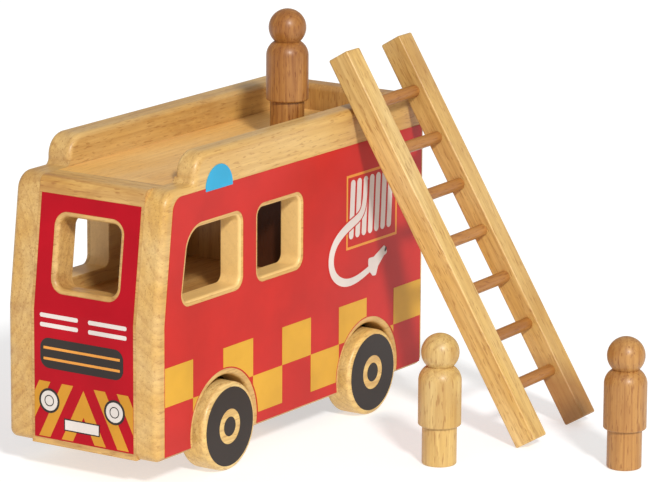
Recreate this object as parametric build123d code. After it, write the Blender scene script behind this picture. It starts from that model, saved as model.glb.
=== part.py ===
from build123d import *

import math
import os

# A wooden toy fire engine: a truck of glued boards with printed sides and two wheelsets,
# a loose ladder leaning on its left roof rail, and three loose turned peg figures.
# All sizes are in millimetres. +X points to the truck's front, +Y to its left, +Z up.
# The origin is on the floor, midway between the truck's two side boards and along its length.

# Truck body
BODY_LENGTH = 310.5
BODY_WIDTH = 117.5
GROUND_CLEARANCE = 19.5
CREASE_HEIGHT = 107.0
WINDSCREEN_LEAN = 7.3
DECK_HEIGHT = 192.0
RAIL_RISE = 19.2
RAIL_SETBACK = 41.6
SHOULDER_RADIUS = 12.5
RAIL_END_RADIUS = 14.5
RAIL_FOOT_RADIUS = 3.5
TOE_RADIUS = 6.0
OUTER_ROUND = 4.5
INNER_RAIL_ROUND = 3.5

# Boards
LEFT_SIDE_BOARD = 16.0
RIGHT_SIDE_BOARD = 19.5
FRONT_BOARD = 18.0
REAR_BOARD = 16.0
BASE_BOARD = 19.0
DECK_BOARD = 12.0
FLOOR_BOARD = 12.0
PARTITION_BOARD = 12.0
REAR_INSET = 9.6
REAR_TOP_DROP = 1.4
REAR_TOP_ROUND = 4.0
FRONT_TOP_ROUND = 5.0
FLOOR_HEIGHT = 109.0
PARTITION_SETBACK = 170.7

# Side windows: the low edge, the high edge, and each window's place back from the front face
WINDOW_SILL = 118.4
WINDOW_HEAD = 164.0
WINDOW_CORNER = 5.5
CAB_WINDOW_SETBACK = 28.2
LEFT_CAB_WINDOW_LENGTH = 63.0
RIGHT_CAB_WINDOW_LENGTH = 55.5
CAB_WINDOW_LEAN = 9.7
CAB_WINDOW_FRONT_RADIUS = 15.5
MID_WINDOW_SETBACK = 111.9
MID_WINDOW_LENGTH = 47.9
WINDOW_ROUND = 2.5
WINDOW_INNER_ROUND = 1.0

# Windscreen, measured along the leaning face
SCREEN_WIDTH = 48.0
SCREEN_HEIGHT = 46.0
SCREEN_SILL_ABOVE_CREASE = 15.4
SCREEN_CORNER = 6.5

# Printed sheets and the bare wood left round them
PRINT_FILM = 0.3
PRINT_MARGIN_FRONT = 8.3
PRINT_MARGIN_REAR = 4.8
PRINT_MARGIN_TOP = 4.6
PRINT_MARGIN_BOTTOM = 2.7
PRINT_CORNER = 9.8
PRINT_RIM = 3.3
PRINT_ARCH_RIM = 4.5
FRONT_PRINT_SIDE_MARGIN = 2.2
FRONT_PRINT_TOP_MARGIN = 10.6
FRONT_PRINT_BOTTOM_MARGIN = 4.2

# Wheels and axles
WHEEL_DIAMETER = 58.0
WHEEL_SIDE_CLEARANCE = 0.7
WHEEL_PROUD = 4.7
WHEEL_EDGE_ROUND = 2.6
FRONT_AXLE_SETBACK = 73.0
WHEELBASE = 167.2
ARCH_GAP = 3.8
ARCH_ROUND = 2.5
AXLE_DIAMETER = 8.0
AXLE_SEAT = 12.0
AXLE_SEAT_SPARE = 0.5
AXLE_RUNNING_CLEARANCE = 0.08
AXLE_GLUE_CLEARANCE = 0.02

# Hidden assembly dowels
DOWEL_DIAMETER = 6.0
DOWEL_LENGTH = 24.0
DOWEL_IN_SIDE = 9.0
DOWEL_HOLE_SPARE = 0.5
DOWEL_GLUE_CLEARANCE = 0.03

# Ladder
LADDER_LENGTH = 283.0
LADDER_WIDTH = 84.5
LADDER_TILT = 30.9
LADDER_YAW = 2.3
LADDER_SETBACK = 222.2
LADDER_GAP = 0.3
STILE_WIDTH = 16.8
STILE_DEPTH = 16.2
STILE_EDGE_ROUND = 1.2
RUNG_COUNT = 7
RUNG_DIAMETER = 8.2
RUNG_PITCH = 34.6
RUNG_SEAT = 10.0
RUNG_SEAT_SPARE = 0.5
RUNG_GLUE_CLEARANCE = 0.02

# Peg figures
FIGURE_HEIGHT = 86.6
FIGURE_BODY_DIAMETER = 28.0
FIGURE_LEG_DIAMETER = 22.6
FIGURE_LEG_HEIGHT = 26.0
FIGURE_SHOULDER_HEIGHT = 55.5
FIGURE_NECK_DIAMETER = 16.8
FIGURE_HEAD_DIAMETER = 24.8
FIGURE_EDGE_ROUND = 1.2

# Where each figure stands: back from the front face, and out from the truck's left side,
# or for the one on the roof deck in from it
FLOOR_LIGHT_SETBACK = 163.25
FLOOR_LIGHT_OUT = 106.4
FLOOR_MID_SETBACK = 224.25
FLOOR_MID_OUT = 208.7
ROOF_DARK_SETBACK = 195.65
ROOF_DARK_IN = 35.1

# Worked out from the sizes above
LEAN = math.radians(WINDSCREEN_LEAN)
FRONT_X = BODY_LENGTH / 2
REAR_X = -BODY_LENGTH / 2
INNER_Y = (BODY_WIDTH - LEFT_SIDE_BOARD - RIGHT_SIDE_BOARD) / 2
SIDE_Y = INNER_Y + LEFT_SIDE_BOARD
RIGHT_SIDE_Y = INNER_Y + RIGHT_SIDE_BOARD
RAIL_TOP = DECK_HEIGHT + RAIL_RISE
RAIL_FRONT_X = FRONT_X - RAIL_SETBACK
WHEEL_RADIUS = WHEEL_DIAMETER / 2
ARCH_RADIUS = WHEEL_RADIUS + ARCH_GAP
FRONT_AXLE_X = FRONT_X - FRONT_AXLE_SETBACK
REAR_AXLE_X = FRONT_AXLE_X - WHEELBASE
REAR_PANEL_X = REAR_X + REAR_INSET
CABIN_REAR_X = REAR_PANEL_X + REAR_BOARD
CABIN_FRONT_X = FRONT_X - FRONT_BOARD
BASE_LOW = WHEEL_RADIUS - BASE_BOARD / 2
BASE_TOP = BASE_LOW + BASE_BOARD
DECK_UNDERSIDE = DECK_HEIGHT - DECK_BOARD
PARTITION_X = FRONT_X - PARTITION_SETBACK
REAR_PANEL_TOP = RAIL_TOP - REAR_TOP_DROP


def front_face_x(height):
    """The x of the truck's front face at a height: upright up to the crease, then leaning back."""
    return FRONT_X - max(0.0, height - CREASE_HEIGHT) * math.tan(LEAN)


def front_inner_x(height):
    """The x of the front panel's inner face at a height."""
    leaning = FRONT_X - FRONT_BOARD / math.cos(LEAN) - (height - CREASE_HEIGHT) * math.tan(LEAN)
    return min(CABIN_FRONT_X, leaning)


def rounded_outline(corners):
    """A closed flat outline through (x, y, radius) corners, each rounded by a tangent arc."""
    count = len(corners)
    edges = []
    entries = []
    exits = []
    for i, (x, y, radius) in enumerate(corners):
        here = Vector(x, y)
        back = (Vector(*corners[i - 1][:2]) - here).normalized()
        ahead = (Vector(*corners[(i + 1) % count][:2]) - here).normalized()
        if radius == 0:
            entries.append(here)
            exits.append(here)
            continue
        half = math.radians(back.get_angle(ahead)) / 2
        cut = radius / math.tan(half)
        bisector = (back + ahead).normalized()
        middle = here + bisector * (radius / math.sin(half) - radius)
        entries.append(here + back * cut)
        exits.append(here + ahead * cut)
        edges.append(ThreePointArc(entries[i], middle, exits[i]))
    for i in range(count):
        edges.append(Line(exits[i - 1], entries[i]))
    return make_face(edges)


def across(face, low_y, high_y):
    """A solid from a face drawn in x and z, reaching from one y to another."""
    return extrude(Plane.XZ.offset(-high_y) * face, high_y - low_y)


def box_between(low, high):
    """A box from its lowest corner to its highest corner."""
    size = [b - a for a, b in zip(low, high)]
    middle = [(a + b) / 2 for a, b in zip(low, high)]
    return Pos(*middle) * Box(*size)


def rod_across(x, z, diameter, low_y, high_y):
    """A round rod that runs along y."""
    turned = Pos(x, (low_y + high_y) / 2, z) * Rot(90, 0, 0)
    return turned * Cylinder(diameter / 2, high_y - low_y)


def edges_where(solid, test):
    """The edges of a solid whose middle point passes a test."""
    return solid.edges().filter_by(lambda edge: test(edge @ 0.5))


# Side panels


def window_outline(front_x, length, lean, front_radius, rim=0.0):
    """One side window's outline in x and z, or the outline of the bare rim round it."""
    low_x = front_x - length - rim
    low_z = WINDOW_SILL - rim
    high_z = WINDOW_HEAD + rim
    corner = WINDOW_CORNER + rim
    slope = math.tan(math.radians(lean))
    sill_x = front_x + rim / math.cos(math.radians(lean)) + rim * slope
    head_x = sill_x - (high_z - low_z) * slope
    return rounded_outline(
        [
            (low_x, low_z, corner),
            (sill_x, low_z, corner),
            (head_x, high_z, front_radius + rim),
            (low_x, high_z, corner),
        ]
    )


def window_outlines(cab_length, rim=0.0):
    """A side's two windows: the cab window, whose front edge leans, and the upright middle one."""
    cab_front = FRONT_X - CAB_WINDOW_SETBACK
    mid_front = FRONT_X - MID_WINDOW_SETBACK
    cab = window_outline(cab_front, cab_length, CAB_WINDOW_LEAN, CAB_WINDOW_FRONT_RADIUS, rim)
    middle = window_outline(mid_front, MID_WINDOW_LENGTH, 0.0, WINDOW_CORNER, rim)
    return [cab, middle]


def arch_outlines(rim=0.0):
    """Both wheel arches as discs in x and z."""
    disc = Circle(ARCH_RADIUS + rim)
    return [Pos(x, WHEEL_RADIUS) * disc for x in (FRONT_AXLE_X, REAR_AXLE_X)]


def side_outline():
    """The side panel's outline in x and z, with its roof rail."""
    return rounded_outline(
        [
            (REAR_X, GROUND_CLEARANCE, TOE_RADIUS),
            (FRONT_X, GROUND_CLEARANCE, TOE_RADIUS),
            (FRONT_X, CREASE_HEIGHT, 0),
            (front_face_x(DECK_HEIGHT), DECK_HEIGHT, SHOULDER_RADIUS),
            (RAIL_FRONT_X, DECK_HEIGHT, RAIL_FOOT_RADIUS),
            (RAIL_FRONT_X, RAIL_TOP, RAIL_END_RADIUS),
            (REAR_X, RAIL_TOP, TOE_RADIUS),
        ]
    )


def side_panel(cab_length, side_y):
    """A side panel in the left one's place, with rounded outer edges, windows and wheel arches."""
    panel = across(side_outline(), INNER_Y, side_y)
    outer = edges_where(panel, lambda p: p.Y > side_y - 0.01)
    panel = fillet(outer, OUTER_ROUND)
    rail = edges_where(panel, lambda p: p.Y < INNER_Y + 0.01 and p.Z > DECK_HEIGHT + RAIL_FOOT_RADIUS)
    # The inner edge is rounded on the rail and behind the rear panel, and square where boards meet it
    square = box_between(
        (REAR_PANEL_X, INNER_Y - 1, GROUND_CLEARANCE - 1),
        (FRONT_X + 1, side_y + 1, DECK_HEIGHT + RAIL_FOOT_RADIUS),
    )
    panel = (fillet(rail, INNER_RAIL_ROUND) - square) + (panel & square)
    for outline in window_outlines(cab_length):
        panel -= across(outline, INNER_Y - 1, side_y + 1)
    for outline in arch_outlines():
        panel -= across(outline, INNER_Y - 1, side_y + 1)
    window_edges = edges_where(
        panel,
        lambda p: p.Y > side_y - 0.01 and in_a_window(p.X, p.Z),
    )
    panel = fillet(window_edges, WINDOW_ROUND)
    arch_edges = edges_where(panel, lambda p: p.Y > side_y - 0.01 and in_an_arch(p.X, p.Z))
    panel = fillet(arch_edges, ARCH_ROUND)
    inner_edges = edges_where(
        panel,
        lambda p: p.Y < INNER_Y + 0.01 and in_a_window(p.X, p.Z),
    )
    return fillet(inner_edges, WINDOW_INNER_ROUND)


def in_a_window(x, z):
    """Whether a point of the side panel's face is on or in a window."""
    cab_front = FRONT_X - CAB_WINDOW_SETBACK
    mid_front = FRONT_X - MID_WINDOW_SETBACK
    in_cab = cab_front - LEFT_CAB_WINDOW_LENGTH - 0.1 < x < cab_front + 0.1
    in_mid = mid_front - MID_WINDOW_LENGTH - 0.1 < x < mid_front + 0.1
    return (in_cab or in_mid) and WINDOW_SILL - 0.1 < z < WINDOW_HEAD + 0.1


def in_an_arch(x, z):
    """Whether a point of the side panel's face is on a wheel arch."""
    nearest = min(math.hypot(x - axle_x, z - WHEEL_RADIUS) for axle_x in (FRONT_AXLE_X, REAR_AXLE_X))
    return nearest < ARCH_RADIUS + 0.1


def side_print_outline():
    """The side sheet's outline in x and z, before its openings are cut."""
    low_z = GROUND_CLEARANCE + PRINT_MARGIN_BOTTOM
    high_z = DECK_HEIGHT - PRINT_MARGIN_TOP
    low_x = REAR_X + PRINT_MARGIN_REAR
    return rounded_outline(
        [
            (low_x, low_z, 0),
            (FRONT_X - PRINT_MARGIN_FRONT, low_z, 0),
            (FRONT_X - PRINT_MARGIN_FRONT, CREASE_HEIGHT, 0),
            (front_face_x(high_z) - PRINT_MARGIN_FRONT, high_z, PRINT_CORNER),
            (low_x, high_z, 0),
        ]
    )


def side_print(cab_length, side_y):
    """A red sheet in the left one's place, cut back round the windows and the wheel arches."""
    face = side_print_outline()
    for outline in window_outlines(cab_length, PRINT_RIM) + arch_outlines(PRINT_ARCH_RIM):
        face -= outline
    return across(face, side_y, side_y + PRINT_FILM)


# Front panel


def front_outline(inner_x, outer_x, low_z, high_z):
    """A strip in x and z that bends back at the crease, between two faces given as functions."""
    return make_face(
        Polyline(
            (inner_x(low_z), low_z),
            (outer_x(low_z), low_z),
            (outer_x(CREASE_HEIGHT), CREASE_HEIGHT),
            (outer_x(high_z), high_z),
            (inner_x(high_z), high_z),
            (inner_x(inner_crease()), inner_crease()),
            close=True,
        )
    )


def inner_crease():
    """The height at which the front panel's inner face bends."""
    return CREASE_HEIGHT - FRONT_BOARD * math.tan(LEAN / 2)


def leaning_plane():
    """A plane on the leaning front face: its x runs to the right side, its y up the face."""
    origin = (FRONT_X, 0, CREASE_HEIGHT)
    return Plane(origin=origin, x_dir=(0, 1, 0), z_dir=(math.cos(LEAN), 0, math.sin(LEAN)))


def screen_tool(rim, depth_in, depth_out):
    """A block through the leaning face with the windscreen's outline, grown by a rim."""
    outline = RectangleRounded(SCREEN_WIDTH + 2 * rim, SCREEN_HEIGHT + 2 * rim, SCREEN_CORNER + rim)
    middle = SCREEN_SILL_ABOVE_CREASE + SCREEN_HEIGHT / 2
    placed = leaning_plane().offset(-depth_in) * Pos(0, middle) * outline
    return extrude(placed, depth_in + depth_out)


def front_panel():
    """The front panel between the sides, with the windscreen opening."""
    outline = front_outline(front_inner_x, front_face_x, GROUND_CLEARANCE, DECK_HEIGHT)
    panel = across(outline, -INNER_Y, INNER_Y)
    top_x = front_face_x(DECK_HEIGHT)
    top = edges_where(panel, lambda p: p.Z > DECK_HEIGHT - 0.01 and p.X > top_x - 0.01)
    panel = fillet(top, FRONT_TOP_ROUND)
    panel -= screen_tool(0, FRONT_BOARD + 5, 5)
    face = leaning_plane()
    rim = edges_where(panel, lambda p: abs(face.to_local_coords(p).Z) < 0.01 and inside_screen(p))
    return fillet(rim, WINDOW_ROUND)


def inside_screen(point):
    """Whether a point of the leaning face is on or in the windscreen opening."""
    local = leaning_plane().to_local_coords(point)
    high = SCREEN_SILL_ABOVE_CREASE + SCREEN_HEIGHT
    across_ok = abs(local.X) < SCREEN_WIDTH / 2 + 0.1
    return across_ok and SCREEN_SILL_ABOVE_CREASE - 0.1 < local.Y < high + 0.1


def front_print():
    """The red sheet on the front panel, bent at the crease and cut back round the windscreen."""
    low_z = GROUND_CLEARANCE + FRONT_PRINT_BOTTOM_MARGIN
    high_z = DECK_HEIGHT - FRONT_PRINT_TOP_MARGIN
    half = INNER_Y - FRONT_PRINT_SIDE_MARGIN
    rise = math.tan(LEAN / 2) * PRINT_FILM

    def film_x(height):
        film = FRONT_X + PRINT_FILM / math.cos(LEAN) - (height - CREASE_HEIGHT) * math.tan(LEAN)
        return min(FRONT_X + PRINT_FILM, film)

    outline = make_face(
        Polyline(
            (FRONT_X, low_z),
            (film_x(low_z), low_z),
            (film_x(CREASE_HEIGHT + rise), CREASE_HEIGHT + rise),
            (film_x(high_z), high_z),
            (front_face_x(high_z), high_z),
            (FRONT_X, CREASE_HEIGHT),
            close=True,
        )
    )
    return across(outline, -half, half) - screen_tool(PRINT_RIM, 5, 5)


# Boards between the sides


def rear_panel():
    """The tail board, a little lower than the rails, with a rounded top."""
    board = box_between(
        (REAR_PANEL_X, -INNER_Y, GROUND_CLEARANCE),
        (CABIN_REAR_X, INNER_Y, REAR_PANEL_TOP),
    )
    top = edges_where(board, lambda p: p.Z > REAR_PANEL_TOP - 0.01 and abs(p.Y) < 0.01)
    return fillet(top, REAR_TOP_ROUND)


def base_board():
    """The bottom board, level with the axles, with the two cross holes that they turn in."""
    board = box_between(
        (CABIN_REAR_X, -INNER_Y, BASE_LOW),
        (CABIN_FRONT_X, INNER_Y, BASE_TOP),
    )
    bore = AXLE_DIAMETER + 2 * AXLE_RUNNING_CLEARANCE
    for x in (FRONT_AXLE_X, REAR_AXLE_X):
        board -= rod_across(x, WHEEL_RADIUS, bore, -INNER_Y - 1, INNER_Y + 1)
    return board


def roof_deck():
    """The deck between the rails, its front edge cut to the front panel's lean."""
    outline = make_face(
        Polyline(
            (CABIN_REAR_X, DECK_UNDERSIDE),
            (front_inner_x(DECK_UNDERSIDE), DECK_UNDERSIDE),
            (front_inner_x(DECK_HEIGHT), DECK_HEIGHT),
            (CABIN_REAR_X, DECK_HEIGHT),
            close=True,
        )
    )
    return across(outline, -INNER_Y, INNER_Y)


def cab_floor():
    """The cab's floor, from the partition to the front panel."""
    low_z = FLOOR_HEIGHT - FLOOR_BOARD
    board = box_between(
        (PARTITION_X, -INNER_Y, low_z),
        (CABIN_FRONT_X, INNER_Y, FLOOR_HEIGHT),
    )
    return board - front_panel()


def cab_partition():
    """The board across the truck behind the cab."""
    return box_between(
        (PARTITION_X - PARTITION_BOARD, -INNER_Y, BASE_TOP),
        (PARTITION_X, INNER_Y, DECK_UNDERSIDE),
    )


# Assembly dowels, which lie along y through each board's edge into the side panel


def dowel_places():
    """The x and z of each dowel on one side, listed board by board."""
    front_x = FRONT_X - FRONT_BOARD / 2
    rear_x = REAR_PANEL_X + REAR_BOARD / 2
    base_z = WHEEL_RADIUS
    deck_z = DECK_HEIGHT - DECK_BOARD / 2
    floor_z = FLOOR_HEIGHT - FLOOR_BOARD / 2
    wall_x = PARTITION_X - PARTITION_BOARD / 2
    base_middle = (FRONT_AXLE_X + REAR_AXLE_X) / 2
    reach = (WHEELBASE - 2 * ARCH_RADIUS) / 2 - DOWEL_DIAMETER
    deck_length = CABIN_FRONT_X - CABIN_REAR_X
    floor_length = CABIN_FRONT_X - PARTITION_X
    return {
        "front_panel": [(front_x, GROUND_CLEARANCE + 20), (front_x, CREASE_HEIGHT - 20)],
        "rear_panel": [(rear_x, GROUND_CLEARANCE + 20), (rear_x, DECK_HEIGHT - 20)],
        "base_board": [(base_middle - reach, base_z), (base_middle + reach, base_z)],
        "roof_deck": [(CABIN_REAR_X + deck_length * share, deck_z) for share in (0.15, 0.5, 0.85)],
        "cab_floor": [(PARTITION_X + floor_length * share, floor_z) for share in (0.2, 0.8)],
        "cab_partition": [(wall_x, BASE_TOP + 25), (wall_x, WINDOW_SILL - 15)],
    }


def drilled(board, places):
    """A board with its dowel holes, at both ends where it reaches both sides."""
    bore = DOWEL_DIAMETER + 2 * DOWEL_GLUE_CLEARANCE
    depth = DOWEL_LENGTH - DOWEL_IN_SIDE + DOWEL_HOLE_SPARE
    reach = DOWEL_IN_SIDE + DOWEL_HOLE_SPARE
    for x, z in places:
        for side in (-1, 1):
            ends = sorted((side * (INNER_Y - depth), side * (INNER_Y + reach)))
            board -= rod_across(x, z, bore, *ends)
    return board


def dowels(places):
    """The dowels themselves, one at each side for each place."""
    rods = []
    for x, z in places:
        for side in (-1, 1):
            ends = sorted((side * (INNER_Y + DOWEL_IN_SIDE - DOWEL_LENGTH), side * (INNER_Y + DOWEL_IN_SIDE)))
            rods.append(rod_across(x, z, DOWEL_DIAMETER, *ends))
    return Compound(children=rods)


# Wheelsets

WHEEL_OUTER_Y = SIDE_Y + WHEEL_PROUD
WHEEL_INNER_Y = INNER_Y + WHEEL_SIDE_CLEARANCE


def wheel(axle_x):
    """One left wheel with its blind axle seat, its outer face towards +Y."""
    disc = rod_across(axle_x, WHEEL_RADIUS, WHEEL_DIAMETER, WHEEL_INNER_Y, WHEEL_OUTER_Y)
    disc = fillet(disc.edges().filter_by(GeomType.CIRCLE), WHEEL_EDGE_ROUND)
    seat = AXLE_DIAMETER + 2 * AXLE_GLUE_CLEARANCE
    end = WHEEL_INNER_Y + AXLE_SEAT + AXLE_SEAT_SPARE
    return disc - rod_across(axle_x, WHEEL_RADIUS, seat, WHEEL_INNER_Y - 1, end)


def axle(axle_x):
    """One axle dowel, seated in both wheels."""
    reach = WHEEL_INNER_Y + AXLE_SEAT
    return rod_across(axle_x, WHEEL_RADIUS, AXLE_DIAMETER, -reach, reach)


# Ladder, made lying along +Z with its underside on the XZ plane, then leaned on the rail


def stile(low_x):
    """One ladder stile with a blind seat for each rung, from its lower x."""
    size = (STILE_WIDTH, STILE_DEPTH, LADDER_LENGTH)
    bar = box_between((low_x, 0, 0), (low_x + size[0], size[1], size[2]))
    return fillet(bar.edges(), STILE_EDGE_ROUND)


def rung_heights():
    """How far up the ladder each rung is."""
    first = (LADDER_LENGTH - (RUNG_COUNT - 1) * RUNG_PITCH) / 2
    return [first + i * RUNG_PITCH for i in range(RUNG_COUNT)]


def rung_rod(height, diameter, low_x, high_x):
    """A round rod along x at a height up the ladder."""
    placed = Pos((low_x + high_x) / 2, STILE_DEPTH / 2, height) * Rot(0, 90, 0)
    return placed * Cylinder(diameter / 2, high_x - low_x)


def ladder_place():
    """Where the leaning ladder stands: its foot on the floor, its rear stile just off the rail."""
    tilt = math.radians(LADDER_TILT)
    yaw = math.radians(LADDER_YAW)
    rail_y = SIDE_Y - OUTER_ROUND
    rail_z = RAIL_TOP - OUTER_ROUND
    off = OUTER_ROUND + LADDER_GAP
    sink = STILE_EDGE_ROUND * (math.cos(tilt) + math.sin(tilt) - 1)
    clear_y = (off + (rail_z + sink) * math.sin(tilt)) / (math.cos(tilt) * math.cos(yaw))
    foot_y = rail_y + clear_y + LADDER_WIDTH * max(0.0, math.sin(yaw))
    corner = Pos(FRONT_X - LADDER_SETBACK, foot_y, -sink)
    return corner * Rot(0, 0, LADDER_YAW) * Rot(LADDER_TILT, 0, 0) * Pos(-LADDER_WIDTH, 0, 0)


def ladder_parts():
    """The two stiles and the rungs, leaning in place."""
    place = ladder_place()
    inner_low = STILE_WIDTH
    inner_high = LADDER_WIDTH - STILE_WIDTH
    rear = stile(0)
    front = stile(LADDER_WIDTH - STILE_WIDTH)
    parts = {}
    seat = RUNG_DIAMETER + 2 * RUNG_GLUE_CLEARANCE
    for i, height in enumerate(rung_heights()):
        hole_low = inner_low - RUNG_SEAT - RUNG_SEAT_SPARE
        hole_high = inner_high + RUNG_SEAT + RUNG_SEAT_SPARE
        hole = rung_rod(height, seat, hole_low, hole_high)
        rear -= hole
        front -= hole
        rung = rung_rod(height, RUNG_DIAMETER, inner_low - RUNG_SEAT, inner_high + RUNG_SEAT)
        parts[f"ladder_rung_{i + 1}"] = place * rung
    parts["ladder_rear_stile"] = place * rear
    parts["ladder_front_stile"] = place * front
    return parts


# Peg figures


def figure():
    """One turned peg figure standing on the origin: leg, body, rounded shoulders, neck and head."""
    leg = FIGURE_LEG_DIAMETER / 2
    body = FIGURE_BODY_DIAMETER / 2
    neck = FIGURE_NECK_DIAMETER / 2
    head = FIGURE_HEAD_DIAMETER / 2
    head_z = FIGURE_HEIGHT - head
    neck_z = head_z - math.sqrt(head**2 - neck**2)
    ease = FIGURE_EDGE_ROUND
    diagonal = ease * (1 - math.sqrt(0.5))
    head_side = (head, head_z)
    profile = [
        Line((0, 0), (leg - ease, 0)),
        ThreePointArc((leg - ease, 0), (leg - diagonal, diagonal), (leg, ease)),
        Line((leg, ease), (leg, FIGURE_LEG_HEIGHT)),
        Line((leg, FIGURE_LEG_HEIGHT), (body - ease, FIGURE_LEG_HEIGHT)),
        ThreePointArc(
            (body - ease, FIGURE_LEG_HEIGHT),
            (body - diagonal, FIGURE_LEG_HEIGHT + diagonal),
            (body, FIGURE_LEG_HEIGHT + ease),
        ),
        Line((body, FIGURE_LEG_HEIGHT + ease), (body, FIGURE_SHOULDER_HEIGHT)),
        TangentArc((body, FIGURE_SHOULDER_HEIGHT), (neck, neck_z), tangent=(0, 1)),
        ThreePointArc((neck, neck_z), head_side, (0, FIGURE_HEIGHT)),
        Line((0, FIGURE_HEIGHT), (0, 0)),
    ]
    return revolve(Plane.XZ * make_face(profile), Axis.Z)


# The whole toy


def build_parts():
    """Every node by name."""
    places = dowel_places()
    every_place = [place for board in places.values() for place in board]
    left = drilled(side_panel(LEFT_CAB_WINDOW_LENGTH, SIDE_Y), every_place)
    right = drilled(side_panel(RIGHT_CAB_WINDOW_LENGTH, RIGHT_SIDE_Y), every_place)
    parts = {
        "left_side_panel": left,
        "right_side_panel": mirror(right, Plane.XZ),
        "left_side_print": side_print(LEFT_CAB_WINDOW_LENGTH, SIDE_Y),
        "right_side_print": mirror(side_print(RIGHT_CAB_WINDOW_LENGTH, RIGHT_SIDE_Y), Plane.XZ),
        "front_panel": drilled(front_panel(), places["front_panel"]),
        "front_print": front_print(),
        "rear_panel": drilled(rear_panel(), places["rear_panel"]),
        "base_board": drilled(base_board(), places["base_board"]),
        "roof_deck": drilled(roof_deck(), places["roof_deck"]),
        "cab_floor": drilled(cab_floor(), places["cab_floor"]),
        "cab_partition": drilled(cab_partition(), places["cab_partition"]),
        "assembly_dowels": dowels(every_place),
    }
    for end, axle_x in (("front", FRONT_AXLE_X), ("rear", REAR_AXLE_X)):
        left_wheel = wheel(axle_x)
        parts[f"{end}_axle"] = axle(axle_x)
        parts[f"{end}_left_wheel"] = left_wheel
        parts[f"{end}_right_wheel"] = mirror(left_wheel, Plane.XZ)
    parts.update(ladder_parts())
    peg = figure()
    light_place = Pos(FRONT_X - FLOOR_LIGHT_SETBACK, SIDE_Y + FLOOR_LIGHT_OUT, 0)
    mid_place = Pos(FRONT_X - FLOOR_MID_SETBACK, SIDE_Y + FLOOR_MID_OUT, 0)
    dark_place = Pos(FRONT_X - ROOF_DARK_SETBACK, SIDE_Y - ROOF_DARK_IN, DECK_HEIGHT)
    parts["figure_floor_light"] = light_place * peg
    parts["figure_floor_mid"] = mid_place * peg
    parts["figure_roof_dark"] = dark_place * peg
    return parts


os.makedirs("parts", exist_ok=True)
for node, shape in build_parts().items():
    export_step(shape, f"parts/{node}.step")
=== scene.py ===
import math

import bmesh
import bpy
from mathutils import Euler, Matrix, Vector


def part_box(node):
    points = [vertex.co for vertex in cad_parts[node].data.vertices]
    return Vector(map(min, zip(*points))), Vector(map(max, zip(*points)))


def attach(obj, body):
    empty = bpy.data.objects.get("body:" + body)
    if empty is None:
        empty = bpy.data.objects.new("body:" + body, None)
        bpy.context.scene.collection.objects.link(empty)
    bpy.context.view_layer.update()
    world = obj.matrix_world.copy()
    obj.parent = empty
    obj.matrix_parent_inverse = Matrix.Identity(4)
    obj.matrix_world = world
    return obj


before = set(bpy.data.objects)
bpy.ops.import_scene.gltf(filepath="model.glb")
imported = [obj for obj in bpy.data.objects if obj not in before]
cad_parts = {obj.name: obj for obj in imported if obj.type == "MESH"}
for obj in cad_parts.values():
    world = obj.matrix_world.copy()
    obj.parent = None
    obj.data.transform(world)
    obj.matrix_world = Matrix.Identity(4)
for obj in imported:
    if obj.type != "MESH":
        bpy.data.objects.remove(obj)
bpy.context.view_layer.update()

bl_info = {
    "name": "Toy fire engine finish",
    "version": (1, 0, 0),
    "blender": (4, 5, 0),
    "location": "3D View > Sidebar > Fire engine",
    "description": "Finishes a wooden toy fire engine: lacquered wood, printed sides, ladder and peg figures",
    "category": "Object",
}

# The whole toy's box as it came from the frame, and where its pieces are. Metres, +X to the
# truck's front, +Y to its left side, +Z up, with the origin on the floor under its body.
# SKIN is how far a room's painted shade reaches into the boards that close it.
SIDE_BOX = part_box("left_side_panel")
FILM_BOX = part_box("left_side_print")
FRONT_FILM_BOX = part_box("front_print")
DECK_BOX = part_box("roof_deck")
STILE_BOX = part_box("ladder_front_stile")
FRONT_X = SIDE_BOX[1].x
SIDE_Y = SIDE_BOX[1].y
FILM_Y = FILM_BOX[1].y
FILM = FILM_Y - SIDE_Y
BOARD_FACE = {1: SIDE_Y, -1: -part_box("right_side_panel")[0].y}
FILM_FACE = {1: FILM_Y, -1: -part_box("right_side_print")[0].y}
SKIN = 0.0003
ROOM_Y = SIDE_BOX[0].y + 0.0005
REAR_ROOM_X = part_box("rear_panel")[1].x - SKIN
WALL_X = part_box("cab_partition")[1].x + SKIN
CAB_ROOM_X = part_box("front_panel")[0].x + SKIN
WINDOW_FOOT_Z = 0.064
AXLE_Z = sum(corner.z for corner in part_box("front_axle")) / 2
AXLE_X = {end: sum(corner.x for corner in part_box(f"{end}_axle")) / 2 for end in ("front", "rear")}
WHEEL_FACE_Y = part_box("front_left_wheel")[1].y
ROUND_STEPS = 10
INK = 0.00012


# Sizes and colours that a maker would change


def length(name, text, default):
    """A length property in metres."""
    return bpy.props.FloatProperty(name=name, description=text, default=default, unit="LENGTH", precision=5)


def amount(name, text, default):
    """A plain number property."""
    return bpy.props.FloatProperty(name=name, description=text, default=default)


def colour(name, text, default):
    """A colour property, linear, without alpha."""
    return bpy.props.FloatVectorProperty(
        name=name, description=text, default=default, subtype="COLOR", size=3, min=0.0, max=1.0
    )


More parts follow.
